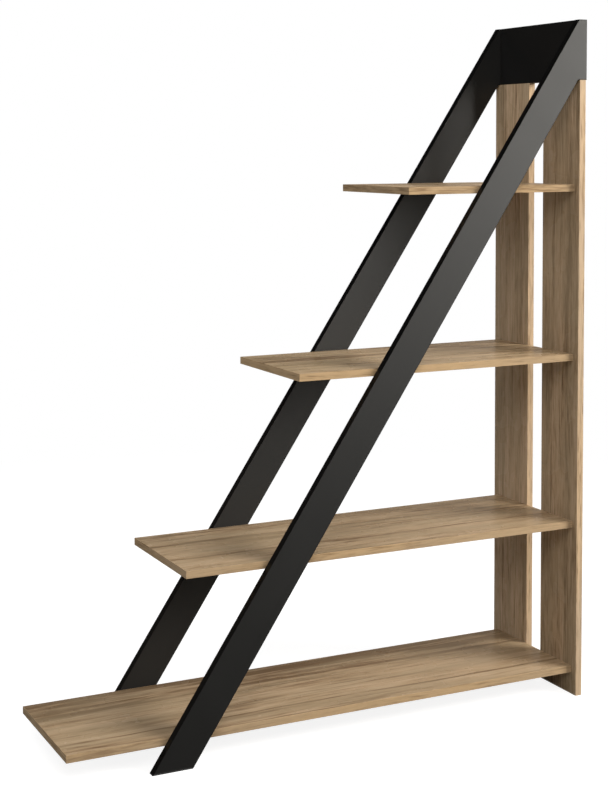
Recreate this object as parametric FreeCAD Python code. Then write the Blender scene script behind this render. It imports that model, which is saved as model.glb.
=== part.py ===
# Triangular shelving unit: four wood-decor shelves held between two slanted black boards,
# with two wood-decor uprights and a black top panel at the tall end.
# Frame: millimetres, +X towards the tall end, +Y towards the back, +Z up.
# The origin is on the floor, at the middle of the unit's length and depth; the length
# counts the cover caps, which stand proud of the top panel.
import FreeCAD, Part
import math
import os

# Board stock
WOOD_BOARD = 16.0
BLACK_BOARD = 18.0
EDGE_BAND = 1.0
ARRIS_RADIUS = 0.6

# Shelves, from the lowest to the highest
SHELF_DEPTH = 306.0
SHELF_1_LENGTH = 1202.0
SHELF_2_LENGTH = 946.0
SHELF_3_LENGTH = 690.0
SHELF_4_LENGTH = 429.0
FLOOR_GAP = 50.0
LOWEST_BAY_HEIGHT = 320.0
BAY_HEIGHT = 368.0

# Uprights and the panel on top of them
UPRIGHT_WIDTH = 142.0
PANEL_HEIGHT = 134.0

# Slanted boards
SLANT_WIDTH = 73.0
SLANT_RUN = 1026.0
SLANT_NOSE = 3.0

# Cam fitting: a bolt screwed into one board, gripped by a round cam let into the other
CAM_DISTANCE = 24.0
CAM_RADIUS = 7.4
CAM_CAVITY_RADIUS = 4.6
CAM_CAVITY_HALF_HEIGHT = 3.4
CAM_FLOOR = 1.0
CAM_RECESS = 0.2
CAM_SLOT_HALF_HEIGHT = 1.8
CAM_SLOT_LEAD_DEGREES = 22.0
CAM_SLOT_SWEEP_DEGREES = 170.0
CAM_ENTRY_RADIUS = 3.3
CROSS_REACH = 3.2
CROSS_WIDTH = 1.4
CROSS_DEPTH = 2.6
CROSS_PILOT_RADIUS = 1.7

# Bolt of the cam fitting
BOLT_THREAD_RADIUS = 2.5
BOLT_THREAD_ROOT_RADIUS = 1.9
BOLT_THREAD_LENGTH = 11.0
BOLT_THREAD_PITCH = 2.2
BOLT_COLLAR_RADIUS = 3.6
BOLT_COLLAR_LENGTH = 1.5
BOLT_SHAFT_RADIUS = 2.8
BOLT_NECK_RADIUS = 1.5
BOLT_HEAD_RADIUS = 3.0
BOLT_HEAD_LENGTH = 3.0
BOLT_CHANNEL_RADIUS = 4.0

# Cover cap over each cam
CAP_RADIUS = 8.6
CAP_THICKNESS = 1.2
CAP_ROUND = 0.5
CAP_STUB_RADIUS = 1.5
CAP_STUB_LENGTH = 2.2

# Wooden dowels
DOWEL_RADIUS = 4.0
DOWEL_IN_FACE = 11.0
DOWEL_IN_EDGE = 19.0
DOWEL_CHAMFER = 1.0

# Where the fittings sit along each joint
SLANT_FITTING_PITCH = 32.0
UPRIGHT_FITTING_PITCH = 64.0
PANEL_FITTING_PITCH = 64.0
PANEL_END_MARGIN = 35.0

# Clearances
DRILL_PLAY = 0.05
DRILL_DEPTH_PLAY = 0.3
CUT_OVERRUN = 2.0
SAME_POINT = 0.001

FULL_TURN_DEGREES = 360.0
HALF_TURN_DEGREES = 180.0

# Places worked out from the sizes above
SHELF_LENGTHS = (SHELF_1_LENGTH, SHELF_2_LENGTH, SHELF_3_LENGTH, SHELF_4_LENGTH)
OVERALL_LENGTH = SHELF_1_LENGTH + BLACK_BOARD + CAP_THICKNESS
OVERALL_DEPTH = SHELF_DEPTH + 2 * BLACK_BOARD
END_X = OVERALL_LENGTH / 2 - CAP_THICKNESS
UPRIGHT_X = END_X - BLACK_BOARD
SHELF_Y = SHELF_DEPTH / 2
OUTER_Y = OVERALL_DEPTH / 2


def shelf_undersides():
    """Heights of the four undersides: a low first bay, then equal ones."""
    second = FLOOR_GAP + WOOD_BOARD + LOWEST_BAY_HEIGHT
    step = WOOD_BOARD + BAY_HEIGHT
    return (FLOOR_GAP, second, second + step, second + 2 * step)


UNDERSIDES = shelf_undersides()
OVERALL_HEIGHT = UNDERSIDES[-1] + WOOD_BOARD + BAY_HEIGHT
UPRIGHT_HEIGHT = OVERALL_HEIGHT - PANEL_HEIGHT
SLANT_TOP_X = UPRIGHT_X - SLANT_NOSE
SLANT_LENGTH = math.hypot(SLANT_RUN, OVERALL_HEIGHT)
SLANT_LEVEL_WIDTH = SLANT_WIDTH * SLANT_LENGTH / OVERALL_HEIGHT


def vector(x, y, z):
    """A point or direction in the unit's frame."""
    return FreeCAD.Vector(x, y, z)


RIGHT = vector(1, 0, 0)
BACK = vector(0, 1, 0)
UP = vector(0, 0, 1)


# Boards and their edge bands

def in_plane(plane, u, v, w):
    """A point given by two coordinates in a board's plane and one across it."""
    if plane == "XY":
        return vector(u, v, w)
    if plane == "YZ":
        return vector(w, u, v)
    return vector(u, w, v)


def slab(plane, outline, low, high):
    """A flat solid between two levels, with the given outline."""
    corners = [in_plane(plane, u, v, low) for u, v in outline]
    wire = Part.makePolygon(corners + corners[:1])
    return Part.Face(wire).extrude(in_plane(plane, 0, 0, high - low))


def edge_line(start, end, inset):
    """The line of one outline edge, moved inwards, as a point and a direction."""
    length = math.hypot(end[0] - start[0], end[1] - start[1])
    along = ((end[0] - start[0]) / length, (end[1] - start[1]) / length)
    moved = (start[0] - along[1] * inset, start[1] + along[0] * inset)
    return moved, along


def crossing(first, second):
    """Where two lines of the form (point, direction) cross."""
    (p, d), (q, e) = first, second
    across = d[0] * e[1] - d[1] * e[0]
    reach = ((q[0] - p[0]) * e[1] - (q[1] - p[1]) * e[0]) / across
    return p[0] + d[0] * reach, p[1] + d[1] * reach


def inset_outline(outline, insets):
    """The outline with each edge moved inwards by its own distance."""
    ends = outline[1:] + outline[:1]
    lines = [edge_line(*edge) for edge in zip(outline, ends, insets)]
    return [crossing(lines[i - 1], lines[i]) for i in range(len(lines))]


def runs_between(edge, corners):
    """True if the edge joins the two corners."""
    ends = [vertex.Point for vertex in edge.Vertexes]
    if len(ends) != len(corners):
        return False
    ahead = all(a.isEqual(b, SAME_POINT) for a, b in zip(ends, corners))
    return ahead or all(a.isEqual(b, SAME_POINT) for a, b in zip(ends, corners[::-1]))


def band_strip(plane, outer, inner, low, high):
    """One edge band: a mitred strip with its two outer arrises rounded."""
    strip = slab(plane, [outer[0], outer[1], inner[1], inner[0]], low, high)
    arrises = []
    for level in (low, high):
        corners = [in_plane(plane, u, v, level) for u, v in outer]
        arrises += [edge for edge in strip.Edges if runs_between(edge, corners)]
    return strip.makeFillet(ARRIS_RADIUS, arrises)


def banded_board(plane, outline, banded, low, high):
    """A board's core, and a band on each edge that is marked as banded."""
    insets = [EDGE_BAND if marked else 0 for marked in banded]
    inner = inset_outline(outline, insets)
    bands = []
    for i, marked in enumerate(banded):
        following = (i + 1) % len(outline)
        if marked:
            outer_edge = (outline[i], outline[following])
            inner_edge = (inner[i], inner[following])
            bands.append(band_strip(plane, outer_edge, inner_edge, low, high))
    return slab(plane, inner, low, high), bands


def shelf_board(index):
    """A shelf lies flat, and all four of its edges are banded."""
    left = UPRIGHT_X - SHELF_LENGTHS[index]
    outline = [(left, -SHELF_Y), (UPRIGHT_X, -SHELF_Y), (UPRIGHT_X, SHELF_Y), (left, SHELF_Y)]
    low = UNDERSIDES[index]
    return banded_board("XY", outline, [True] * 4, low, low + WOOD_BOARD)


def upright_board(side):
    """An upright stands on its bare lower end; its two long edges are banded."""
    near = side * OUTER_Y
    far = side * (OUTER_Y - UPRIGHT_WIDTH)
    low, high = min(near, far), max(near, far)
    outline = [(low, 0), (high, 0), (high, UPRIGHT_HEIGHT), (low, UPRIGHT_HEIGHT)]
    banded = [False, True, False, True]
    return banded_board("YZ", outline, banded, UPRIGHT_X, UPRIGHT_X + WOOD_BOARD)


def panel_board():
    """The top panel stands on the uprights, between the slanted boards."""
    low, high = UPRIGHT_HEIGHT, OVERALL_HEIGHT
    outline = [(-SHELF_Y, low), (SHELF_Y, low), (SHELF_Y, high), (-SHELF_Y, high)]
    banded = [True, False, True, False]
    return banded_board("YZ", outline, banded, UPRIGHT_X, END_X)


def slant_upper_x(z):
    """Where a slanted board's upper edge is at a height."""
    return SLANT_TOP_X - SLANT_RUN * (OVERALL_HEIGHT - z) / OVERALL_HEIGHT


def slant_board(side):
    """A slanted board: a bare foot on the floor, and an upright end that caps the upright."""
    foot = slant_upper_x(0)
    notch = slant_upper_x(UPRIGHT_HEIGHT) + SLANT_LEVEL_WIDTH
    outline = [
        (foot, 0),
        (foot + SLANT_LEVEL_WIDTH, 0),
        (notch, UPRIGHT_HEIGHT),
        (END_X, UPRIGHT_HEIGHT),
        (END_X, OVERALL_HEIGHT),
        (SLANT_TOP_X, OVERALL_HEIGHT),
    ]
    banded = [False] + [True] * 5
    low, high = sorted((side * SHELF_Y, side * OUTER_Y))
    return banded_board("XZ", outline, banded, low, high)


# Fittings, each made at the origin: +X runs into the board that holds the cam,
# and +Z runs from the bolt's axis to the face that the cam opens in

def turned(profile):
    """A solid turned about X from (place along X, radius) points."""
    points = [vector(x, radius, 0) for x, radius in profile]
    section = Part.Face(Part.makePolygon(points + points[:1]))
    return section.revolve(vector(0, 0, 0), RIGHT, FULL_TURN_DEGREES)


def bolt():
    """The bolt: ridged thread, collar on the board's face, shaft, thin neck and round head.

    The head bears on the inside of the cam's wall, above and below the slot.
    """
    profile = [(-BOLT_THREAD_LENGTH, 0), (-BOLT_THREAD_LENGTH, BOLT_THREAD_ROOT_RADIUS)]
    ridges = int(BOLT_THREAD_LENGTH / BOLT_THREAD_PITCH)
    pitch = BOLT_THREAD_LENGTH / ridges
    for ridge in range(ridges):
        start = -BOLT_THREAD_LENGTH + ridge * pitch
        profile.append((start + pitch / 2, BOLT_THREAD_RADIUS))
        profile.append((start + pitch, BOLT_THREAD_ROOT_RADIUS))
    neck_start = CAM_DISTANCE - CAM_RADIUS - CAM_RECESS
    head_half_width = math.sqrt(BOLT_HEAD_RADIUS**2 - CAM_SLOT_HALF_HEIGHT**2)
    head_start = CAM_DISTANCE - math.sqrt(CAM_CAVITY_RADIUS**2 - head_half_width**2) + DRILL_PLAY
    head_end = head_start + BOLT_HEAD_LENGTH
    profile += [
        (0, BOLT_COLLAR_RADIUS),
        (BOLT_COLLAR_LENGTH, BOLT_COLLAR_RADIUS),
        (BOLT_COLLAR_LENGTH, BOLT_SHAFT_RADIUS),
        (neck_start, BOLT_SHAFT_RADIUS),
        (neck_start, BOLT_NECK_RADIUS),
        (head_start, BOLT_NECK_RADIUS),
        (head_start, BOLT_HEAD_RADIUS),
        (head_end, BOLT_HEAD_RADIUS),
        (head_end, 0),
    ]
    return turned(profile)


def cam_cylinder(radius, low, high, degrees=FULL_TURN_DEGREES):
    """A cylinder, or a sector of one, about the cam's axis."""
    return Part.makeCylinder(radius, high - low, vector(CAM_DISTANCE, 0, low), UP, degrees)


def cam(face):
    """The cam: a round housing, hollow for the bolt's head, with a slot for its neck."""
    top = face - CAM_RECESS
    body = cam_cylinder(CAM_RADIUS, -CAM_CAVITY_HALF_HEIGHT - CAM_FLOOR, top)
    cavity = cam_cylinder(CAM_CAVITY_RADIUS, -CAM_CAVITY_HALF_HEIGHT, CAM_CAVITY_HALF_HEIGHT)
    axis = vector(CAM_DISTANCE, 0, 0)
    slot = cam_cylinder(
        CAM_RADIUS + CUT_OVERRUN, -CAM_SLOT_HALF_HEIGHT, CAM_SLOT_HALF_HEIGHT, CAM_SLOT_SWEEP_DEGREES
    )
    slot.rotate(axis, UP, HALF_TURN_DEGREES - CAM_SLOT_LEAD_DEGREES)
    entry = Part.makeCylinder(CAM_ENTRY_RADIUS, CAM_RADIUS + CUT_OVERRUN, axis, -RIGHT)
    entry.rotate(axis, UP, CAM_SLOT_SWEEP_DEGREES - 2 * CAM_SLOT_LEAD_DEGREES)
    cuts = [cavity, slot, entry, cam_cylinder(CROSS_PILOT_RADIUS, top - CROSS_DEPTH, top + CUT_OVERRUN)]
    for long_x, long_y in ((CROSS_REACH, CROSS_WIDTH / 2), (CROSS_WIDTH / 2, CROSS_REACH)):
        corner = vector(CAM_DISTANCE - long_x, -long_y, top - CROSS_DEPTH)
        cuts.append(Part.makeBox(2 * long_x, 2 * long_y, CROSS_DEPTH + CUT_OVERRUN, corner))
    return body.cut(Part.makeCompound(cuts))


def cam_cap(face):
    """The cover cap: a thin disc on the board's face, with a stub in the cam's cross recess."""
    disc = cam_cylinder(CAP_RADIUS, face, face + CAP_THICKNESS)
    rim = [edge for edge in disc.Edges if edge.BoundBox.ZMin > face + CAP_THICKNESS / 2]
    stub = cam_cylinder(CAP_STUB_RADIUS, face - CAP_STUB_LENGTH, face)
    return disc.makeFillet(CAP_ROUND, rim).fuse(stub).removeSplitter()


def cam_drilling(face):
    """What is drilled in the board that holds the cam: the cam's pocket and the bolt's channel."""
    depth = CAM_CAVITY_HALF_HEIGHT + CAM_FLOOR + DRILL_DEPTH_PLAY
    pocket = cam_cylinder(CAM_RADIUS + DRILL_PLAY, -depth, face + CUT_OVERRUN)
    channel = Part.makeCylinder(
        BOLT_CHANNEL_RADIUS, CAM_DISTANCE + CUT_OVERRUN, vector(-CUT_OVERRUN, 0, 0), RIGHT
    )
    return pocket.fuse(channel)


def bolt_drilling():
    """What is drilled for the bolt's thread in the other board."""
    depth = BOLT_THREAD_LENGTH + DRILL_DEPTH_PLAY
    start = vector(-depth, 0, 0)
    return Part.makeCylinder(BOLT_THREAD_RADIUS + DRILL_PLAY, depth + CUT_OVERRUN, start, RIGHT)


def dowel():
    """A wooden dowel, chamfered at both ends."""
    shoulder = DOWEL_RADIUS - DOWEL_CHAMFER
    return turned(
        [
            (-DOWEL_IN_FACE, 0),
            (-DOWEL_IN_FACE, shoulder),
            (-DOWEL_IN_FACE + DOWEL_CHAMFER, DOWEL_RADIUS),
            (DOWEL_IN_EDGE - DOWEL_CHAMFER, DOWEL_RADIUS),
            (DOWEL_IN_EDGE, shoulder),
            (DOWEL_IN_EDGE, 0),
        ]
    )


def dowel_drilling():
    """The one hole, half in each board, that a dowel fills."""
    start = vector(-DOWEL_IN_FACE - DRILL_DEPTH_PLAY, 0, 0)
    length = DOWEL_IN_FACE + DOWEL_IN_EDGE + 2 * DRILL_DEPTH_PLAY
    return Part.makeCylinder(DOWEL_RADIUS + DRILL_PLAY, length, start, RIGHT)


def seated(shape, place, inward, opening):
    """A fitting moved to its place on a joint."""
    side = opening.cross(inward)
    x, y, z = inward, side, opening
    matrix = FreeCAD.Matrix(
        x.x, y.x, z.x, place.x, x.y, y.y, z.y, place.y, x.z, y.z, z.z, place.z, 0, 0, 0, 1
    )
    moved = shape.copy()
    moved.Placement = FreeCAD.Placement(matrix)
    return moved


# The unit: nodes by name, and what is drilled in each board

nodes = {}
drillings = {}


def add_cam_joint(group, holder, other, place, inward, opening, face):
    """A cam fitting: its cam sits in the holder, and its bolt in the other board."""
    for kind, shape in (("cams", cam(face)), ("bolts", bolt()), ("cam_caps", cam_cap(face))):
        nodes.setdefault(f"{group}_{kind}", []).append(seated(shape, place, inward, opening))
    drillings.setdefault(holder, []).append(seated(cam_drilling(face), place, inward, opening))
    drillings.setdefault(other, []).append(seated(bolt_drilling(), place, inward, opening))


def add_dowel_joint(group, holder, other, place, inward, opening):
    """A dowel across a joint, drilled in both boards."""
    nodes.setdefault(f"{group}_dowels", []).append(seated(dowel(), place, inward, opening))
    for board in (holder, other):
        drillings.setdefault(board, []).append(seated(dowel_drilling(), place, inward, opening))


def join_shelf(index):
    """A shelf is joined to each slanted board and each upright by a cam fitting and a dowel."""
    name = f"shelf_{index + 1}"
    half = WOOD_BOARD / 2
    middle_z = UNDERSIDES[index] + half
    slant_x = slant_upper_x(middle_z) + SLANT_LEVEL_WIDTH / 2
    upright_y = SHELF_Y / 2 + (OUTER_Y - UPRIGHT_WIDTH) / 2
    for side, which in ((-1, "front"), (1, "rear")):
        inward = -side * BACK
        slant = f"{which}_slant"
        cam_at = vector(slant_x - SLANT_FITTING_PITCH / 2, side * SHELF_Y, middle_z)
        dowel_at = vector(slant_x + SLANT_FITTING_PITCH / 2, side * SHELF_Y, middle_z)
        add_cam_joint(name, name, slant, cam_at, inward, -UP, half)
        add_dowel_joint(name, name, slant, dowel_at, inward, -UP)
        upright = f"{which}_upright"
        cam_y = side * (upright_y + UPRIGHT_FITTING_PITCH / 2)
        dowel_y = side * (upright_y - UPRIGHT_FITTING_PITCH / 2)
        cam_at = vector(UPRIGHT_X, cam_y, middle_z)
        dowel_at = vector(UPRIGHT_X, dowel_y, middle_z)
        add_cam_joint(name, name, upright, cam_at, -RIGHT, -UP, half)
        add_dowel_joint(name, name, upright, dowel_at, -RIGHT, -UP)


def join_panel():
    """The top panel is joined to the slanted boards at its ends and to the uprights below it."""
    half = BLACK_BOARD / 2
    middle_x = UPRIGHT_X + half
    upright_y = SHELF_Y / 2 + (OUTER_Y - UPRIGHT_WIDTH) / 2
    for side, which in ((-1, "front"), (1, "rear")):
        inward = -side * BACK
        slant = f"{which}_slant"
        for z in (UPRIGHT_HEIGHT + PANEL_END_MARGIN, OVERALL_HEIGHT - PANEL_END_MARGIN):
            end = vector(middle_x, side * SHELF_Y, z)
            add_cam_joint("top_panel", "top_panel", slant, end, inward, RIGHT, half)
        middle = vector(middle_x, side * SHELF_Y, (UPRIGHT_HEIGHT + OVERALL_HEIGHT) / 2)
        add_dowel_joint("top_panel", "top_panel", slant, middle, inward, RIGHT)
        upright = f"{which}_upright"
        below = vector(middle_x, side * upright_y, UPRIGHT_HEIGHT)
        add_cam_joint("top_panel", "top_panel", upright, below, UP, RIGHT, half)
        for offset in (-PANEL_FITTING_PITCH / 2, PANEL_FITTING_PITCH / 2):
            add_dowel_joint("top_panel", "top_panel", upright, below + offset * BACK, UP, RIGHT)


def join_slants_to_uprights():
    """One dowel stands in each upright's end and holds the slanted board that caps it."""
    outer_y = (SHELF_Y + OUTER_Y) / 2
    for side, which in ((-1, "front"), (1, "rear")):
        place = vector(UPRIGHT_X + WOOD_BOARD / 2, side * outer_y, UPRIGHT_HEIGHT)
        add_dowel_joint("slant", f"{which}_slant", f"{which}_upright", place, UP, RIGHT)


def add_board(name, core, bands):
    """Drills a board and its bands, and keeps them as two nodes."""
    tools = Part.makeCompound(drillings.get(name, []))
    nodes[name] = core.cut(tools).Solids
    nodes[f"{name}_edge_bands"] = [solid for band in bands for solid in band.cut(tools).Solids]


def build():
    """Every joint first, so that each board is drilled once."""
    for index in range(len(SHELF_LENGTHS)):
        join_shelf(index)
    join_panel()
    join_slants_to_uprights()
    for index in range(len(SHELF_LENGTHS)):
        add_board(f"shelf_{index + 1}", *shelf_board(index))
    for side, which in ((-1, "front"), (1, "rear")):
        add_board(f"{which}_upright", *upright_board(side))
        add_board(f"{which}_slant", *slant_board(side))
    add_board("top_panel", *panel_board())


def export():
    """Writes one STEP file for each node."""
    os.makedirs("parts", exist_ok=True)
    for name, solids in sorted(nodes.items()):
        sound = all(solid.isValid() for solid in solids)
        Part.makeCompound(solids).exportStep(f"parts/{name}.step")
        print(name, len(solids), "solids, all valid:", sound)


build()
export()
print("overall", OVERALL_LENGTH, OVERALL_DEPTH, OVERALL_HEIGHT)
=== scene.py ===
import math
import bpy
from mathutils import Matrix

bl_info = {
    "name": "Triangular shelving unit",
    "version": (1, 0, 0),
    "blender": (4, 5, 0),
    "location": "3D View > Sidebar > Shelving unit",
    "description": "Finishes the shelving unit's boards, bands and fittings, and builds its studio",
    "category": "Object",
}

import bpy
from mathutils import Matrix, Vector

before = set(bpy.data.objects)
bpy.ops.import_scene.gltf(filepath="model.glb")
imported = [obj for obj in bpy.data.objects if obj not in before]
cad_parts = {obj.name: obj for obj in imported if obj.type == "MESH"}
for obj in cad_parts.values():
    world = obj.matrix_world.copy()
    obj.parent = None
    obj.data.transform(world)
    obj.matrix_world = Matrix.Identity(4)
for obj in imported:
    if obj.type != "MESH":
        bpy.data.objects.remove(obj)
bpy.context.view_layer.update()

SHELVES = ("shelf_1", "shelf_2", "shelf_3", "shelf_4")
UPRIGHTS = ("front_upright", "rear_upright")
BLACK_BOARDS = ("front_slant", "rear_slant", "top_panel")
FITTED = SHELVES + ("top_panel",)

# Each board's print and one painted mark. The thin line, soft line and dark zone are places across the board
# from its middle, in metres, and the rest says how strong each kind of mark is. On the uprights the dark zone
# is a patch of the print; on the shelves it lies at the rear edge and is painted shade, darker towards the
# rear.
PRINT_AND_SHADE_MARKS = {
    "shelf_1": {
        "Thin Line": -0.100, "Soft Line": 0.063, "Dark Zone": 0.153,
        "Lines": 1.0, "Zone": 0.56, "Broad": 1.1, "Streaks": 1.7,
        "Flecks": 0.8, "Pale Lines": 0.5, "Dashes": 0.2, "Fibres": 0.7,
    },
    "shelf_2": {
        "Thin Line": -0.062, "Soft Line": 0.053, "Dark Zone": 0.13,
        "Lines": 0.7, "Zone": 0.15, "Broad": 0.8, "Streaks": 1.8,
        "Flecks": 1.2, "Pale Lines": 0.5, "Dashes": 0.2, "Fibres": 0.8,
    },
    "shelf_3": {
        "Thin Line": -0.091, "Soft Line": 0.034, "Dark Zone": 0.09,
        "Lines": 0.8, "Zone": 0.2, "Broad": 1.3, "Streaks": 2.6,
        "Flecks": 1.6, "Pale Lines": 0.6, "Dashes": 0.2, "Fibres": 0.8,
    },
    "shelf_4": {
        "Thin Line": -0.090, "Soft Line": 0.020, "Dark Zone": 0.11,
        "Lines": 0.2, "Zone": 0.05, "Broad": 0.5, "Streaks": 0.7,
        "Flecks": 0.5, "Pale Lines": 0.3, "Dashes": 0.1, "Fibres": 0.4,
    },
    "front_upright": {
        "Thin Line": -0.125, "Soft Line": -0.075, "Dark Zone": -0.165,
        "Lines": 0.12, "Zone": 0.14, "Broad": 0.25, "Streaks": 1.6,
        "Flecks": 1.4, "Pale Lines": 0.4, "Dashes": 0.2, "Fibres": 0.6,
    },
    "rear_upright": {
        "Thin Line": 0.056, "Soft Line": 0.135, "Dark Zone": 0.085,
        "Lines": 0.10, "Zone": 0.10, "Broad": 0.20, "Streaks": 1.2,
        "Flecks": 1.2, "Pale Lines": 0.4, "Dashes": 0.1, "Fibres": 0.6,
    },
    "bands": {
        "Lines": 0.0, "Zone": 0.0, "Broad": 1.2, "Streaks": 1.2,
        "Flecks": 2.2, "Pale Lines": 0.5, "Dashes": 0.25, "Fibres": 1.6,
    },
}

# How far each print is shifted along the grain, in metres, so that no two boards are alike
PRINT_SHIFTS = {
    "shelf_1": 0.0,
    "shelf_2": 1.7,
    "shelf_3": 3.4,
    "shelf_4": 5.1,
    "shelf bands": 0.0,
    "upright bands": 5.0,
    "front_upright": 9.0,
    "rear_upright": 13.5,
}

# What the finish's colours are multiplied by on each board. This is painted light and shade: the boards share
# one decor, and these make some lighter or darker, and cooler or warmer, to stand in for how the light falls
# on each
PAINTED_LIGHT_TINTS = {
    "shelf_1": (0.87, 0.87, 0.875),
    "shelf_2": (0.89, 0.895, 0.90),
    "shelf_3": (0.97, 0.98, 0.97),
    "shelf_4": (1.06, 1.06, 1.06),
    "shelf bands": (0.79, 0.765, 0.72),
    "upright bands": (0.92, 0.93, 0.98),
    "front_upright": (0.815, 0.82, 0.845),
    "rear_upright": (0.965, 0.98, 1.03),
}

# Which axes run along the grain, across it and through the board; "XY" adds two, for bands on both
SHELF_GRAIN = "XYZ"
SHELF_BAND_GRAIN = ("XY", "Z", "Z")
UPRIGHT_GRAIN = "ZYX"
UPRIGHT_BAND_GRAIN = "ZXY"

OAK_GLOSS = 0.15
BLACK_GLOSS = 0.42
BLACK_BAND_GLOSS = 0.15
BLACK_BAND_ROUGHNESS = 0.35

# The point that every light faces
LIT_POINT = (0.15, 0.0, 0.8)

# The soft lights, which reflections don't show: place, side, part of the light power, and colour
SOFT_LIGHTS = {
    "Key light": ((3.4, -3.0, 2.9), 2.3, 0.70, (1.0, 0.97, 0.91)),
    "Top front light": ((-2.0, -4.3, 4.3), 3.2, 0.44, (1.0, 0.98, 0.94)),
    "Top rear light": ((-1.4, 1.2, 5.4), 2.2, 0.035, (1.0, 1.0, 1.0)),
    "Rear right light": ((2.6, 5.0, 2.2), 3.0, 0.25, (1.0, 1.0, 1.0)),
    "Left light": ((-4.8, 0.6, 1.6), 3.0, 0.13, (0.93, 0.98, 1.06)),
    "Upper light": ((0.35, -0.3, 2.7), 1.0, 0.015, (1.0, 0.98, 0.94)),
}

# Lights that only the black boards show, as their satin sheen. Where one belongs to a soft light at the
# same height, it stands a little nearer, because two lamps in one plane hide each other.
SHEENS = {
    "Key sheen": ((3.61, -3.23, 1.78), 2.3, 0.69, (1.0, 0.97, 0.91)),
    "Top front sheen": ((-1.98, -4.26, 4.26), 3.2, 0.53, (1.0, 0.98, 0.94)),
    "Top rear sheen": ((-1.39, 1.19, 5.35), 2.2, 0.035, (1.0, 1.0, 1.0)),
    "Rear right sheen": ((2.57, 4.95, 2.18), 3.0, 0.25, (1.0, 1.0, 1.0)),
}

FLOOR_REACH = 30.0
# How far from the middle the floor starts to fade to white, and where it is white
FADE_START = 1.2
FADE_END = 3.0
SEEN_FLOOR_GREY = 0.4
SEEN_FLOOR_GLOW = 0.87

CURTAIN_RADIUS = 6.5
CURTAIN_HEIGHT = 14.0
CURTAIN_SIDES = 80
CURTAIN_GREY = 0.004
CLOTH_LIFT = 0.003
PANEL_HEIGHT = 2.4
# The curtain's sides that carry the warm panel, counted from +X towards +Y
PANEL_FROM = 6
PANEL_TO = 26
PANEL_COLOUR = (1.0, 0.80, 0.63, 1.0)

WHITE = (1.0, 1.0, 1.0, 1.0)
BLACK = (0.0, 0.0, 0.0, 1.0)

FLOAT = "NodeSocketFloat"
COLOUR = "NodeSocketColor"
VECTOR = "NodeSocketVector"

# The colour sockets of a Mix node, which share their names with its other kinds
MIX_FACTOR, MIX_FIRST, MIX_SECOND = 0, 6, 7
MIX_RESULT = 2

NOISE_MIDDLE = 0.5
SEED_STEPS = (1.0, 0.37, 0.71)


# Helpers for shader nodes

def fill_inputs(tree, node, inputs):
    """Links each named input to a socket, or sets its value."""
    for name, value in inputs.items():
        if isinstance(value, bpy.types.NodeSocket):
            tree.links.new(value, node.inputs[name])
        else:
            node.inputs[name].default_value = value


def add_node(tree, kind, inputs=None, **settings):
    """Adds a node, sets its options, and links or sets its inputs."""
    node = tree.nodes.new(kind)
    for name, value in settings.items():
        setattr(node, name, value)
    fill_inputs(tree, node, inputs or {})
    return node


def maths(tree, operation, first, second=0.0, clamped=False):
    """One sum of two values, as the output of a Math node."""
    return add_node(
        tree, "ShaderNodeMath", {0: first, 1: second}, operation=operation, use_clamp=clamped
    ).outputs[0]


def mix_colours(tree, factor, first, second):
    """A blend of two colours."""
    node = add_node(tree, "ShaderNodeMix", data_type="RGBA")
    fill_inputs(tree, node, {MIX_FACTOR: factor, MIX_FIRST: first, MIX_SECOND: second})
    return node.outputs[MIX_RESULT]


def stretched_noise(tree, place, along, across, through, detail=2.0, roughness=0.5, seed=0.0):
    """Noise with its own feature size along the grain, across it and through the board."""
    shift = tuple(seed * step for step in SEED_STEPS)
    shifted = add_node(tree, "ShaderNodeVectorMath", {0: place, 1: shift}, operation="ADD")
    scaled = add_node(tree, "ShaderNodeVectorMath", {0: shifted.outputs[0]}, operation="MULTIPLY")
    combined = add_node(tree, "ShaderNodeCombineXYZ")
    for axis, size in enumerate((along, across, through)):
        inverse = maths(tree, "DIVIDE", 1.0, size)
        tree.links.new(inverse, combined.inputs[axis])
    tree.links.new(combined.outputs[0], scaled.inputs[1])
    inputs = {"Vector": scaled.outputs[0], "Scale": 1.0, "Detail": detail, "Roughness": roughness}
    return add_node(tree, "ShaderNodeTexNoise", inputs).outputs[0]


def spread(tree, value, low, high, at_low=0.0, at_high=1.0):
    """Maps low..high to at_low..at_high with a soft start and end."""
    inputs = {"Value": value, "From Min": low, "From Max": high, "To Min": at_low, "To Max": at_high}
    return add_node(tree, "ShaderNodeMapRange", inputs, interpolation_type="SMOOTHSTEP").outputs[0]


def swing(tree, noise, strength):
    """Noise about its middle turned into a swing of that strength about zero."""
    return maths(tree, "MULTIPLY", maths(tree, "SUBTRACT", noise, NOISE_MIDDLE), strength)


def total(tree, values):
    """The sum of several values."""
    result = values[0]
    for value in values[1:]:
        result = maths(tree, "ADD", result, value)
    return result


def opaque(colour):
    """A colour with full alpha."""
    return (*colour, 1.0)


def times(colour, factor):
    """A colour made lighter or darker, with full alpha."""
    return opaque([min(1.0, part * factor) for part in colour])


def new_group(name, inputs, outputs):
    """An empty shader group with its sockets: (name, kind, default) and (name, kind)."""
    group = bpy.data.node_groups.new(name, "ShaderNodeTree")
    for label, kind, default in inputs:
        socket = group.interface.new_socket(name=label, in_out="INPUT", socket_type=kind)
        socket.default_value = default
    for label, kind in outputs:
        group.interface.new_socket(name=label, in_out="OUTPUT", socket_type=kind)
    entry = group.nodes.new("NodeGroupInput")
    leave = group.nodes.new("NodeGroupOutput")
    return group, entry.outputs, leave.inputs


def use_group(tree, group, inputs):
    """Places a group in a material with its own values."""
    node = tree.nodes.new("ShaderNodeGroup")
    node.node_tree = group
    fill_inputs(tree, node, inputs)
    return node.outputs


# Shader groups

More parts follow.
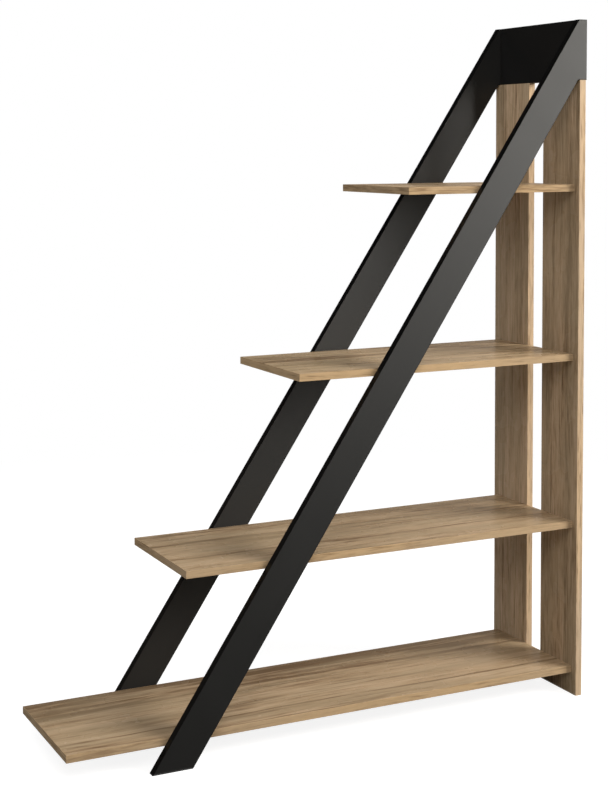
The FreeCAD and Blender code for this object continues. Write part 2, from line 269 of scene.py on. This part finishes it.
def printed_oak_group():
    """The oak print: streaks, two long dark lines, a dark zone, short dashes, fibres and pores. On the
    shelves the dark zone is painted shade towards the rear.
    """
    existing = bpy.data.node_groups.get("Printed oak")
    if existing:
        return existing
    tree, given, out = new_group(
        "Printed oak",
        (
            ("Place", VECTOR, (0.0, 0.0, 0.0)),
            ("Light", COLOUR, WHITE),
            ("Middle", COLOUR, (0.5, 0.5, 0.5, 1.0)),
            ("Dark", COLOUR, (0.1, 0.1, 0.1, 1.0)),
            ("Grey", COLOUR, (0.3, 0.3, 0.3, 1.0)),
            ("Thin Line", FLOAT, 0.0),
            ("Soft Line", FLOAT, 0.0),
            ("Dark Zone", FLOAT, 0.0),
            ("Lines", FLOAT, 1.0),
            ("Zone", FLOAT, 1.0),
            ("Broad", FLOAT, 1.0),
            ("Streaks", FLOAT, 1.0),
            ("Flecks", FLOAT, 1.0),
            ("Pale Lines", FLOAT, 0.3),
            ("Dashes", FLOAT, 0.0),
            ("Fibres", FLOAT, 0.3),
        ),
        (("Color", COLOUR), ("Height", FLOAT), ("Tone", FLOAT)),
    )
    place = given["Place"]
    parts = add_node(tree, "ShaderNodeSeparateXYZ", {0: place}).outputs
    wander = stretched_noise(tree, place, along=0.35, across=0.1, through=0.4, detail=3.0, seed=3.1)
    across = maths(tree, "ADD", parts[1], swing(tree, wander, strength=0.02))
    bent = add_node(tree, "ShaderNodeCombineXYZ", {0: parts[0], 1: across, 2: parts[2]}).outputs[0]
    fibre = stretched_noise(tree, bent, along=0.07, across=0.002, through=0.006, detail=1.0, seed=5.9)
    pore_noise = stretched_noise(
        tree, bent, along=0.009, across=0.0007, through=0.002, detail=1.0, seed=9.4
    )
    pores = spread(tree, pore_noise, low=0.6, high=0.7)
    lighter = oak_lightening(tree, bent, fibre, given)
    darker = oak_darkening(tree, place, bent, across, given)
    tone = maths(tree, "SUBTRACT", lighter, darker)
    twice = maths(tree, "MULTIPLY", tone, 2.0)
    darker_half = maths(tree, "MULTIPLY", tone, 2.0, clamped=True)
    lighter_half = maths(tree, "SUBTRACT", twice, 1.0, clamped=True)
    colour = mix_colours(tree, darker_half, given["Dark"], given["Middle"])
    colour = mix_colours(tree, lighter_half, colour, given["Light"])
    grey_noise = stretched_noise(tree, bent, along=0.35, across=0.05, through=0.3, detail=3.0, seed=6.6)
    greyed = spread(tree, grey_noise, low=0.36, high=0.64, at_low=0.0, at_high=0.5)
    colour = mix_colours(tree, greyed, colour, given["Grey"])
    pore_strength = 0.2
    colour = mix_colours(tree, maths(tree, "MULTIPLY", pores, pore_strength), colour, given["Dark"])
    fibre_height = 0.4
    height = maths(tree, "SUBTRACT", maths(tree, "MULTIPLY", fibre, fibre_height), pores)
    tree.links.new(colour, out["Color"])
    tree.links.new(height, out["Height"])
    tree.links.new(maths(tree, "MINIMUM", maths(tree, "MAXIMUM", tone, 0.0), 1.0), out["Tone"])
    return tree


def oak_lightening(tree, bent, fibre, given):
    """The print's tone before its dark marks: streaks of three widths, flecks, fibres and pale lines."""
    plain_tone = 0.56
    broad = stretched_noise(tree, bent, along=0.55, across=0.06, through=0.3, seed=2.2)
    wide = stretched_noise(tree, bent, along=0.38, across=0.018, through=0.05, seed=1.3)
    narrow = stretched_noise(tree, bent, along=0.16, across=0.009, through=0.02, seed=5.4)
    fleck = stretched_noise(tree, bent, along=0.035, across=0.0045, through=0.01, seed=4.7)
    pale = stretched_noise(tree, bent, along=0.2, across=0.006, through=0.02, detail=1.0, seed=10.2)
    streaks = maths(tree, "ADD", swing(tree, wide, strength=0.8), swing(tree, narrow, strength=0.7))
    return total(
        tree,
        (
            maths(tree, "MULTIPLY", swing(tree, broad, strength=1.0), given["Broad"]),
            maths(tree, "MULTIPLY", streaks, given["Streaks"]),
            maths(tree, "MULTIPLY", swing(tree, fleck, strength=0.8), given["Flecks"]),
            maths(tree, "MULTIPLY", maths(tree, "SUBTRACT", fibre, NOISE_MIDDLE), given["Fibres"]),
            maths(tree, "MULTIPLY", spread(tree, pale, low=0.54, high=0.68), given["Pale Lines"]),
            plain_tone,
        ),
    )


def oak_darkening(tree, place, bent, across, given):
    """The dark marks: the print's two long lines and short dashes, and a dark zone, which is a patch of the
    print on the uprights and painted shade at the rear of the shelves.
    """
    fade_noise = stretched_noise(tree, place, along=0.22, across=0.05, through=0.5, seed=7.7)
    fade = spread(tree, fade_noise, low=0.32, high=0.6, at_low=0.45, at_high=1.0)
    thin = marked_line(tree, across, given["Thin Line"], half_width=0.0065)
    soft = marked_line(tree, across, given["Soft Line"], half_width=0.012)
    # The dark zone: painted shade towards the rear edge on the shelves, a patch of the print on the uprights
    zone = marked_line(tree, across, given["Dark Zone"], half_width=0.17)
    dash_noise = stretched_noise(
        tree, bent, along=0.07, across=0.0065, through=0.02, detail=1.0, seed=8.3
    )
    strength = maths(tree, "MULTIPLY", fade, given["Lines"])
    return total(
        tree,
        (
            maths(tree, "MULTIPLY", maths(tree, "ADD", thin, soft), strength),
            maths(tree, "MULTIPLY", zone, given["Zone"]),
            maths(tree, "MULTIPLY", spread(tree, dash_noise, low=0.54, high=0.7), given["Dashes"]),
        ),
    )


def marked_line(tree, across, place, half_width):
    """1 on a line of the print, and 0 beyond its half width."""
    gap = maths(tree, "ABSOLUTE", maths(tree, "SUBTRACT", across, place))
    return spread(tree, gap, low=0.0, high=half_width, at_low=1.0, at_high=0.0)


def cut_end_group():
    """The bare chipboard that shows where a board's foot is cut square and left unbanded."""
    existing = bpy.data.node_groups.get("Cut end")
    if existing:
        return existing
    tree, given, out = new_group(
        "Cut end",
        (
            ("Place", VECTOR, (0.0, 0.0, 0.0)),
            ("Facing", VECTOR, (0.0, 0.0, 1.0)),
            ("Surface", COLOUR, (0.5, 0.5, 0.5, 1.0)),
            ("Height", FLOAT, 0.0),
        ),
        (("Color", COLOUR), ("Height", FLOAT)),
    )
    flakes_per_metre = 420.0
    dark_flake = (0.26, 0.17, 0.09, 1.0)
    light_flake = (0.58, 0.43, 0.27, 1.0)
    facing = add_node(tree, "ShaderNodeSeparateXYZ", {0: given["Facing"]})
    downward = spread(tree, facing.outputs[2], low=-0.9, high=-0.97)
    flakes = add_node(
        tree, "ShaderNodeTexVoronoi", {"Vector": given["Place"], "Scale": flakes_per_metre, "Randomness": 1.0}
    )
    tint = add_node(tree, "ShaderNodeSeparateColor", {0: flakes.outputs["Color"]}).outputs[0]
    core = mix_colours(tree, tint, dark_flake, light_flake)
    tree.links.new(mix_colours(tree, downward, given["Surface"], core), out["Color"])
    rough = maths(tree, "MULTIPLY", flakes.outputs["Distance"], downward)
    tree.links.new(maths(tree, "ADD", given["Height"], rough), out["Height"])
    return tree


def satin_group():
    """The fine unevenness of a pressed satin surface: its gloss and its grain."""
    existing = bpy.data.node_groups.get("Satin surface")
    if existing:
        return existing
    tree, given, out = new_group(
        "Satin surface",
        (
            ("Place", VECTOR, (0.0, 0.0, 0.0)),
            ("Roughness", FLOAT, 0.4),
            ("Unevenness", FLOAT, 0.05),
        ),
        (("Roughness", FLOAT), ("Height", FLOAT), ("Patch", FLOAT)),
    )
    patch_size = 0.09
    speck_size = 0.0009
    patch = stretched_noise(
        tree, given["Place"], patch_size, patch_size, patch_size, detail=3.0, seed=4.4
    )
    speck = stretched_noise(
        tree, given["Place"], speck_size, speck_size, speck_size, detail=1.0, seed=8.8
    )
    uneven = swing(tree, patch, given["Unevenness"])
    tree.links.new(maths(tree, "ADD", given["Roughness"], uneven), out["Roughness"])
    tree.links.new(speck, out["Height"])
    tree.links.new(patch, out["Patch"])
    return tree


# Settings

class WoodDecorSettings(bpy.types.PropertyGroup):
    """The printed oak finish of the shelves and uprights."""

    light: bpy.props.FloatVectorProperty(
        name="Light",
        description="Lightest tone of the print",
        subtype="COLOR",
        default=(0.70, 0.515, 0.335),
    )
    middle: bpy.props.FloatVectorProperty(
        name="Middle",
        description="Main tone of the print",
        subtype="COLOR",
        default=(0.565, 0.398, 0.24),
    )
    dark: bpy.props.FloatVectorProperty(
        name="Dark",
        description="Darkest lines of the print",
        subtype="COLOR",
        default=(0.27, 0.172, 0.095),
    )
    grey: bpy.props.FloatVectorProperty(
        name="Grey",
        description="Greyed tone of the print",
        subtype="COLOR",
        default=(0.47, 0.36, 0.225),
    )
    roughness: bpy.props.FloatProperty(
        name="Roughness",
        description="How matt the decor is",
        subtype="FACTOR",
        min=0,
        max=1,
        default=0.27,
    )


class WoodBandSettings(bpy.types.PropertyGroup):
    """The edge bands of the shelves and uprights."""

    light: bpy.props.FloatVectorProperty(
        name="Light",
        description="Lightest tone of the band",
        subtype="COLOR",
        default=(0.70, 0.50, 0.30),
    )
    middle: bpy.props.FloatVectorProperty(
        name="Middle",
        description="Main tone of the band",
        subtype="COLOR",
        default=(0.60, 0.425, 0.255),
    )
    dark: bpy.props.FloatVectorProperty(
        name="Dark",
        description="Darkest lines of the band",
        subtype="COLOR",
        default=(0.36, 0.235, 0.13),
    )
    grey: bpy.props.FloatVectorProperty(
        name="Grey",
        description="Greyed tone of the band",
        subtype="COLOR",
        default=(0.58, 0.445, 0.31),
    )
    roughness: bpy.props.FloatProperty(
        name="Roughness",
        description="How matt the band is",
        subtype="FACTOR",
        min=0,
        max=1,
        default=0.5,
    )


class BlackDecorSettings(bpy.types.PropertyGroup):
    """The satin black finish of the slanted boards and the top panel."""

    colour: bpy.props.FloatVectorProperty(
        name="Colour",
        description="Colour of the black decor",
        subtype="COLOR",
        default=(0.0078, 0.0077, 0.0075),
    )
    # The bands' black is darker than the boards': painted shade, which keeps the narrow edge faces of the
    # slants dark
    band: bpy.props.FloatVectorProperty(
        name="Band",
        description="Colour of the black edge bands",
        subtype="COLOR",
        default=(0.0055, 0.0054, 0.0053),
    )
    roughness: bpy.props.FloatProperty(
        name="Roughness",
        description="How matt the decor is",
        subtype="FACTOR",
        min=0,
        max=1,
        default=0.5,
    )


class FittingSettings(bpy.types.PropertyGroup):
    """The cams, bolts, dowels and cover caps."""

    zinc: bpy.props.FloatVectorProperty(
        name="Zinc",
        description="Colour of the cams",
        subtype="COLOR",
        default=(0.55, 0.56, 0.57),
    )
    steel: bpy.props.FloatVectorProperty(
        name="Steel",
        description="Colour of the bolts",
        subtype="COLOR",
        default=(0.62, 0.62, 0.64),
    )
    beech: bpy.props.FloatVectorProperty(
        name="Beech",
        description="Colour of the dowels",
        subtype="COLOR",
        default=(0.62, 0.43, 0.25),
    )
    brown_cap: bpy.props.FloatVectorProperty(
        name="Brown caps",
        description="Colour of the shelves' caps",
        subtype="COLOR",
        default=(0.30, 0.19, 0.11),
    )


class StudioSettings(bpy.types.PropertyGroup):
    """The camera and the light."""

    lens: bpy.props.FloatProperty(
        name="Lens",
        description="Focal length",
        unit="CAMERA",
        default=70.676,
    )
    camera_place: bpy.props.FloatVectorProperty(
        name="Camera place",
        description="Where the camera stands",
        subtype="TRANSLATION",
        default=(-1.50779, -3.06721, 1.26087),
    )
    heading: bpy.props.FloatProperty(
        name="Heading",
        description="Camera's turn to the right of +Y",
        subtype="ANGLE",
        default=0.45358,
    )
    tilt: bpy.props.FloatProperty(
        name="Tilt",
        description="Camera's tilt below level",
        subtype="ANGLE",
        default=0.06294,
    )
    roll: bpy.props.FloatProperty(
        name="Roll",
        description="Camera's roll",
        subtype="ANGLE",
        default=-0.00358,
    )
    shift: bpy.props.FloatProperty(
        name="Shift",
        description="Vertical lens shift",
        default=-0.195,
    )
    light_power: bpy.props.FloatProperty(
        name="Light power",
        description="The power that each soft light and sheen is a part of",
        unit="POWER",
        default=345.0,
    )
    ambient: bpy.props.FloatProperty(
        name="Ambient",
        description="Strength of the even light all round",
        default=0.03,
    )
    floor: bpy.props.FloatVectorProperty(
        name="Floor",
        description="Colour of the floor",
        subtype="COLOR",
        default=(0.35, 0.35, 0.345),
    )


# Finishes

def new_material(name):
    """An empty material: its node tree, its shader, and the place and facing of a point on the object."""
    material = bpy.data.materials.new(name)
    material.use_nodes = True
    tree = material.node_tree
    where = tree.nodes.new("ShaderNodeTexCoord").outputs
    return material, tree, tree.nodes["Principled BSDF"], where["Object"], where["Normal"]


def wear_material(node_name, material):
    """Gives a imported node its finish."""
    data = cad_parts[node_name].data
    if not data.materials:
        data.materials.append(material)
    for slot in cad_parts[node_name].material_slots:
        slot.material = material


def along_grain(tree, place, order, shift):
    """The place with the axis along the grain first, shifted, then across the grain and through."""
    parts = add_node(tree, "ShaderNodeSeparateXYZ", {0: place}).outputs
    picked = []
    for axes in order:
        picked.append(total(tree, [parts["XYZ".index(axis)] for axis in axes]))
    picked[0] = maths(tree, "ADD", picked[0], shift)
    return add_node(tree, "ShaderNodeCombineXYZ", dict(enumerate(picked))).outputs[0]


def raise_grain(tree, shader, height, strength, distance):
    """Feeds a height to the shader's normal through a Bump node."""
    bump = add_node(tree, "ShaderNodeBump", {"Height": height, "Strength": strength, "Distance": distance})
    tree.links.new(bump.outputs[0], shader.inputs["Normal"])


def oak_material(name, settings, order, shift, marks, tint, cut_end=False):
    """An oak print in a finish's colours; marks holds where its figure is and how strong each mark is, and
    tint makes the colours lighter or darker as painted light and shade.
    """
    material, tree, shader, place, facing = new_material(name)
    inputs = {"Place": along_grain(tree, place, order, shift)}
    for label in ("light", "middle", "dark", "grey"):
        # The tint is painted light and shade: it makes this board's colours lighter or darker than the shared
        # decor
        inputs[label.capitalize()] = opaque([a * b for a, b in zip(getattr(settings, label), tint)])
    oak = use_group(tree, printed_oak_group(), inputs | marks)
    colour, height = oak["Color"], oak["Height"]
    if cut_end:
        inputs = {"Place": place, "Facing": facing, "Surface": colour, "Height": height}
        end = use_group(tree, cut_end_group(), inputs)
        colour, height = end["Color"], end["Height"]
    inputs = {"Place": place, "Roughness": settings.roughness, "Unevenness": 0.1}
    satin = use_group(tree, satin_group(), inputs)
    tree.links.new(colour, shader.inputs["Base Color"])
    tree.links.new(satin["Roughness"], shader.inputs["Roughness"])
    shader.inputs["Specular IOR Level"].default_value = OAK_GLOSS
    raise_grain(tree, shader, height, strength=0.12, distance=0.0002)
    return material


def black_material(name, colour, roughness, gloss, cut_end=False):
    """The satin black decor."""
    material, tree, shader, place, facing = new_material(name)
    satin = use_group(
        tree, satin_group(), {"Place": place, "Roughness": roughness, "Unevenness": 0.05}
    )
    colour = mix_colours(tree, satin["Patch"], opaque(colour), times(colour, 1.3))
    height = satin["Height"]
    if cut_end:
        inputs = {"Place": place, "Facing": facing, "Surface": colour, "Height": height}
        end = use_group(tree, cut_end_group(), inputs)
        colour, height = end["Color"], end["Height"]
    tree.links.new(colour, shader.inputs["Base Color"])
    tree.links.new(satin["Roughness"], shader.inputs["Roughness"])
    shader.inputs["Specular IOR Level"].default_value = gloss
    raise_grain(tree, shader, height, strength=0.05, distance=0.0001)
    return material


def metal_material(name, colour, roughness):
    """A dull metal with an uneven surface."""
    material, tree, shader, place, _facing = new_material(name)
    satin = use_group(tree, satin_group(), {"Place": place, "Roughness": roughness, "Unevenness": 0.2})
    mixed = mix_colours(tree, satin["Patch"], times(colour, 0.8), opaque(colour))
    tree.links.new(mixed, shader.inputs["Base Color"])
    tree.links.new(satin["Roughness"], shader.inputs["Roughness"])
    shader.inputs["Metallic"].default_value = 1.0
    raise_grain(tree, shader, satin["Height"], strength=0.2, distance=0.0001)
    return material


def beech_material(name, colour):
    """Bare beech with short flecks."""
    material, tree, shader, place, _facing = new_material(name)
    fleck = stretched_noise(tree, place, along=0.004, across=0.0008, through=0.0008, seed=6.1)
    mixed = mix_colours(tree, fleck, times(colour, 0.7), opaque(colour))
    tree.links.new(mixed, shader.inputs["Base Color"])
    shader.inputs["Roughness"].default_value = 0.75
    return material


def cap_material(name, colour):
    """The moulded plastic of the cover caps."""
    material, tree, shader, place, _facing = new_material(name)
    satin = use_group(tree, satin_group(), {"Place": place, "Roughness": 0.5, "Unevenness": 0.1})
    mixed = mix_colours(tree, satin["Patch"], opaque(colour), times(colour, 1.2))
    tree.links.new(mixed, shader.inputs["Base Color"])
    tree.links.new(satin["Roughness"], shader.inputs["Roughness"])
    raise_grain(tree, shader, satin["Height"], strength=0.15, distance=0.0001)
    return material


class SHELVING_OT_finish_shelves(bpy.types.Operator):
    """Prints the oak decor on the shelves and their edge bands"""

    bl_idname = "shelving.finish_shelves"
    bl_label = "Finish shelves"

    def execute(self, context):
        decor, bands = context.scene.shelving_wood, context.scene.shelving_bands
        kind = "shelf bands"
        band = oak_material(
            "Oak band, shelves", bands, SHELF_BAND_GRAIN, PRINT_SHIFTS[kind], PRINT_AND_SHADE_MARKS["bands"], PAINTED_LIGHT_TINTS[kind]
        )
        for name in SHELVES:
            board = oak_material(
                f"Oak decor, {name}", decor, SHELF_GRAIN, PRINT_SHIFTS[name], PRINT_AND_SHADE_MARKS[name], PAINTED_LIGHT_TINTS[name]
            )
            wear_material(name, board)
            wear_material(f"{name}_edge_bands", band)
        return {"FINISHED"}


class SHELVING_OT_finish_uprights(bpy.types.Operator):
    """Prints the oak decor on the uprights and their edge bands"""

    bl_idname = "shelving.finish_uprights"
    bl_label = "Finish uprights"

    def execute(self, context):
        decor, bands = context.scene.shelving_wood, context.scene.shelving_bands
        kind = "upright bands"
        band = oak_material(
            "Oak band, uprights", bands, UPRIGHT_BAND_GRAIN, PRINT_SHIFTS[kind], PRINT_AND_SHADE_MARKS["bands"], PAINTED_LIGHT_TINTS[kind]
        )
        for name in UPRIGHTS:
            board = oak_material(
                f"Oak decor, {name}",
                decor,
                UPRIGHT_GRAIN,
                PRINT_SHIFTS[name],
                PRINT_AND_SHADE_MARKS[name],
                PAINTED_LIGHT_TINTS[name],
                cut_end=True,
            )
            wear_material(name, board)
            wear_material(f"{name}_edge_bands", band)
        return {"FINISHED"}


class SHELVING_OT_finish_black_boards(bpy.types.Operator):
    """Gives the slanted boards and the top panel their satin black decor"""

    bl_idname = "shelving.finish_black_boards"
    bl_label = "Finish black boards"

    def execute(self, context):
        settings = context.scene.shelving_black
        board = black_material(
            "Black decor", settings.colour, settings.roughness, BLACK_GLOSS, cut_end=True
        )
        # The bands take the darker black, painted shade on the narrow edge faces
        band = black_material("Black band", settings.band, BLACK_BAND_ROUGHNESS, BLACK_BAND_GLOSS)
        for name in BLACK_BOARDS:
            wear_material(name, board)
            wear_material(f"{name}_edge_bands", band)
        return {"FINISHED"}


class SHELVING_OT_finish_fittings(bpy.types.Operator):
    """Gives the cams, bolts, dowels and cover caps their finishes"""

    bl_idname = "shelving.finish_fittings"
    bl_label = "Finish fittings"

    def execute(self, context):
        settings = context.scene.shelving_fittings
        zinc = metal_material("Die-cast zinc", settings.zinc, roughness=0.45)
        steel = metal_material("Zinc-plated steel", settings.steel, roughness=0.3)
        beech = beech_material("Beech dowel", settings.beech)
        brown = cap_material("Brown cap", settings.brown_cap)
        black = cap_material("Black cap", context.scene.shelving_black.colour)
        for name in FITTED:
            wear_material(f"{name}_cams", zinc)
            wear_material(f"{name}_bolts", steel)
            wear_material(f"{name}_dowels", beech)
            wear_material(f"{name}_cam_caps", black if name == "top_panel" else brown)
        wear_material("slant_dowels", beech)
        return {"FINISHED"}


# Studio

def seen_rays(tree):
    """1 for the rays that see the background: camera, glossy and transmission rays."""
    path = tree.nodes.new("ShaderNodeLightPath").outputs
    both = maths(tree, "MAXIMUM", path["Is Camera Ray"], path["Is Glossy Ray"])
    return maths(tree, "MAXIMUM", both, path["Is Transmission Ray"])


def mix_shaders(tree, factor, first, second):
    """A blend of two shaders' outputs."""
    inputs = {0: factor, 1: first.outputs[0], 2: second.outputs[0]}
    return add_node(tree, "ShaderNodeMixShader", inputs)


def build_world(ambient):
    """An even light, with a white background where it is seen."""
    world = bpy.data.worlds.new("Studio")
    bpy.context.scene.world = world
    world.use_nodes = True
    tree = world.node_tree
    tree.nodes.clear()
    light = add_node(tree, "ShaderNodeBackground", {"Color": WHITE, "Strength": ambient})
    white = add_node(tree, "ShaderNodeBackground", {"Color": WHITE, "Strength": 1.0})
    mix = mix_shaders(tree, seen_rays(tree), light, white)
    output = tree.nodes.new("ShaderNodeOutputWorld")
    tree.links.new(mix.outputs[0], output.inputs[0])


def floor_material(colour):
    """A pale floor that shows the unit's shadow and fades to plain white away from it."""
    material, tree, shader, place, _facing = new_material("Pale floor")
    tree.nodes.remove(shader)
    seen_colour = opaque([SEEN_FLOOR_GREY] * 3)
    real = add_node(tree, "ShaderNodeBsdfDiffuse", {"Color": opaque(colour)})
    dim = add_node(tree, "ShaderNodeBsdfDiffuse", {"Color": seen_colour})
    glow = add_node(tree, "ShaderNodeEmission", {"Color": WHITE, "Strength": SEEN_FLOOR_GLOW})
    near = add_node(tree, "ShaderNodeAddShader", {0: dim.outputs[0], 1: glow.outputs[0]})
    white = add_node(tree, "ShaderNodeEmission", {"Color": WHITE, "Strength": 1.0})
    distance = add_node(tree, "ShaderNodeVectorMath", {0: place}, operation="LENGTH").outputs["Value"]
    inputs = {"Value": distance, "From Min": FADE_START, "From Max": FADE_END}
    far = add_node(tree, "ShaderNodeMapRange", inputs, clamp=True).outputs[0]
    faded = mix_shaders(tree, far, near, white)
    mix = mix_shaders(tree, seen_rays(tree), real, faded)
    tree.links.new(mix.outputs[0], tree.nodes["Material Output"].inputs[0])
    return material


def sheet_piece(name, corners, faces, material):
    """A stage piece of flat faces."""
    mesh = bpy.data.meshes.new(name)
    mesh.from_pydata(corners, [], faces)
    mesh.materials.append(material)
    sheet = bpy.data.objects.new(name, mesh)
    bpy.context.scene.collection.objects.link(sheet)
    return sheet


def square_light(name, place, side, power, colour):
    """A soft square light that faces the lit point."""
    lamp = bpy.data.lights.new(name, "AREA")
    lamp.size = side
    lamp.energy = power
    lamp.color = colour
    holder = bpy.data.objects.new(name, lamp)
    bpy.context.scene.collection.objects.link(holder)
    holder.location = place
    holder.rotation_euler = (Vector(LIT_POINT) - Vector(place)).to_track_quat("-Z", "Y").to_euler()
    return holder


def build_lights(power):
    """The soft lights, and the sheens that are linked to the black boards alone."""
    boards = bpy.data.collections.new("Black boards")
    for name in BLACK_BOARDS:
        boards.objects.link(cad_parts[name])
    for name, (place, side, part, colour) in SOFT_LIGHTS.items():
        light = square_light(name, place, side, power * part, colour)
        light.visible_glossy = False
    for name, (place, side, part, colour) in SHEENS.items():
        sheen = square_light(name, place, side, power * part, colour)
        sheen.visible_diffuse = False
        sheen.light_linking.receiver_collection = boards


def curtain_material():
    """A cloth so dark that reflections of it stay black."""
    material = bpy.data.materials.new("Dark curtain")
    material.use_nodes = True
    shader = material.node_tree.nodes["Principled BSDF"]
    shader.inputs["Base Color"].default_value = opaque([CURTAIN_GREY] * 3)
    shader.inputs["Specular IOR Level"].default_value = 0.0
    return material


def panel_material():
    """A softly glowing warm panel, brighter to the right and near the floor."""
    material, tree, shader, place, _facing = new_material("Warm panel")
    parts = add_node(tree, "ShaderNodeSeparateXYZ", {0: place}).outputs
    rightward = spread(tree, parts[0], low=2.6, high=3.8, at_low=0.10, at_high=0.40)
    upward = spread(tree, parts[2], low=1.2, high=2.2, at_low=1.35, at_high=1.0)
    glow = maths(tree, "MULTIPLY", rightward, upward)
    tree.links.new(mix_colours(tree, glow, BLACK, PANEL_COLOUR), shader.inputs["Emission Color"])
    shader.inputs["Emission Strength"].default_value = 1.0
    shader.inputs["Base Color"].default_value = BLACK
    shader.inputs["Specular IOR Level"].default_value = 0.0
    return material


def dark_curtain():
    """A dark room of cloth round the set, seen only in reflections, so that satin faces stay deep.

    At the rear right it has a warm panel, which the tops of the shelves show at a low angle.
    """
    low_ring, middle_ring, high_ring = [], [], []
    faces, finishes = [], []
    for step in range(CURTAIN_SIDES):
        angle = math.tau * step / CURTAIN_SIDES
        x, y = CURTAIN_RADIUS * math.cos(angle), CURTAIN_RADIUS * math.sin(angle)
        low_ring.append((x, y, CLOTH_LIFT))
        middle_ring.append((x, y, PANEL_HEIGHT))
        high_ring.append((x, y, CURTAIN_HEIGHT))
        beside = (step + 1) % CURTAIN_SIDES
        lower = (step, beside, beside + CURTAIN_SIDES, step + CURTAIN_SIDES)
        faces.append(lower)
        finishes.append(int(PANEL_FROM <= step < PANEL_TO))
        faces.append(tuple(corner + CURTAIN_SIDES for corner in lower))
        finishes.append(0)
    corners = low_ring + middle_ring + high_ring
    floor_cloth = tuple(range(CURTAIN_SIDES))
    ceiling = tuple(range(len(corners) - CURTAIN_SIDES, len(corners)))
    faces.extend((floor_cloth, ceiling))
    finishes.extend((0, 0))
    curtain = sheet_piece("Dark curtain", corners, faces, curtain_material())
    curtain.data.materials.append(panel_material())
    curtain.data.polygons.foreach_set("material_index", finishes)
    curtain.visible_camera = False
    curtain.visible_diffuse = False
    curtain.visible_shadow = False
    curtain.visible_transmission = False


class SHELVING_OT_build_studio(bpy.types.Operator):
    """Builds the floor, the white background and the soft light"""

    bl_idname = "shelving.build_studio"
    bl_label = "Build studio"

    def execute(self, context):
        settings = context.scene.shelving_studio
        context.scene.view_settings.view_transform = "Standard"
        build_world(settings.ambient)
        reach = FLOOR_REACH
        corners = [(-reach, -reach, 0), (reach, -reach, 0), (reach, reach, 0), (-reach, reach, 0)]
        sheet_piece("Floor", corners, [(0, 1, 2, 3)], floor_material(settings.floor))
        build_lights(settings.light_power)
        dark_curtain()
        return {"FINISHED"}


class SHELVING_OT_place_camera(bpy.types.Operator):
    """Places the camera at the front left, where the unit is seen in three-quarter view"""

    bl_idname = "shelving.place_camera"
    bl_label = "Place camera"

    def execute(self, context):
        settings = context.scene.shelving_studio
        data = bpy.data.cameras.new("Camera")
        data.lens = settings.lens
        data.shift_y = settings.shift
        camera = bpy.data.objects.new("Camera", data)
        context.scene.collection.objects.link(camera)
        turn = Matrix.Rotation(-settings.heading, 4, "Z")
        nod = Matrix.Rotation(math.pi / 2 - settings.tilt, 4, "X")
        roll = Matrix.Rotation(settings.roll, 4, "Z")
        camera.matrix_world = Matrix.Translation(settings.camera_place) @ turn @ nod @ roll
        context.scene.camera = camera
        return {"FINISHED"}


# Panel and registration

class SHELVING_PT_panel(bpy.types.Panel):
    """The shelving unit's settings and steps"""

    bl_idname = "SHELVING_PT_panel"
    bl_label = "Shelving unit"
    bl_space_type = "VIEW_3D"
    bl_region_type = "UI"
    bl_category = "Shelving unit"

    def draw(self, context):
        for group in SETTINGS:
            box = self.layout.box()
            for prop in SETTINGS[group].__annotations__:
                box.prop(getattr(context.scene, group), prop)
        for operator in OPERATORS:
            self.layout.operator(operator.bl_idname)


SETTINGS = {
    "shelving_wood": WoodDecorSettings,
    "shelving_bands": WoodBandSettings,
    "shelving_black": BlackDecorSettings,
    "shelving_fittings": FittingSettings,
    "shelving_studio": StudioSettings,
}
OPERATORS = (
    SHELVING_OT_place_camera,
    SHELVING_OT_finish_shelves,
    SHELVING_OT_finish_uprights,
    SHELVING_OT_finish_black_boards,
    SHELVING_OT_finish_fittings,
    SHELVING_OT_build_studio,
)


def register():
    """Registers the settings, operators and panel."""
    for name, group in SETTINGS.items():
        bpy.utils.register_class(group)
        setattr(bpy.types.Scene, name, bpy.props.PointerProperty(type=group))
    for operator in OPERATORS:
        bpy.utils.register_class(operator)
    bpy.utils.register_class(SHELVING_PT_panel)


def unregister():
    """Takes the settings, operators and panel out again."""
    bpy.utils.unregister_class(SHELVING_PT_panel)
    for operator in reversed(OPERATORS):
        bpy.utils.unregister_class(operator)
    for name, group in SETTINGS.items():
        delattr(bpy.types.Scene, name)
        bpy.utils.unregister_class(group)


def main():
    """Builds everything in order."""
    register()
    for operator in OPERATORS:
        category, name = operator.bl_idname.split(".")
        getattr(getattr(bpy.ops, category), name)()


if __name__ == "__main__":
    main()
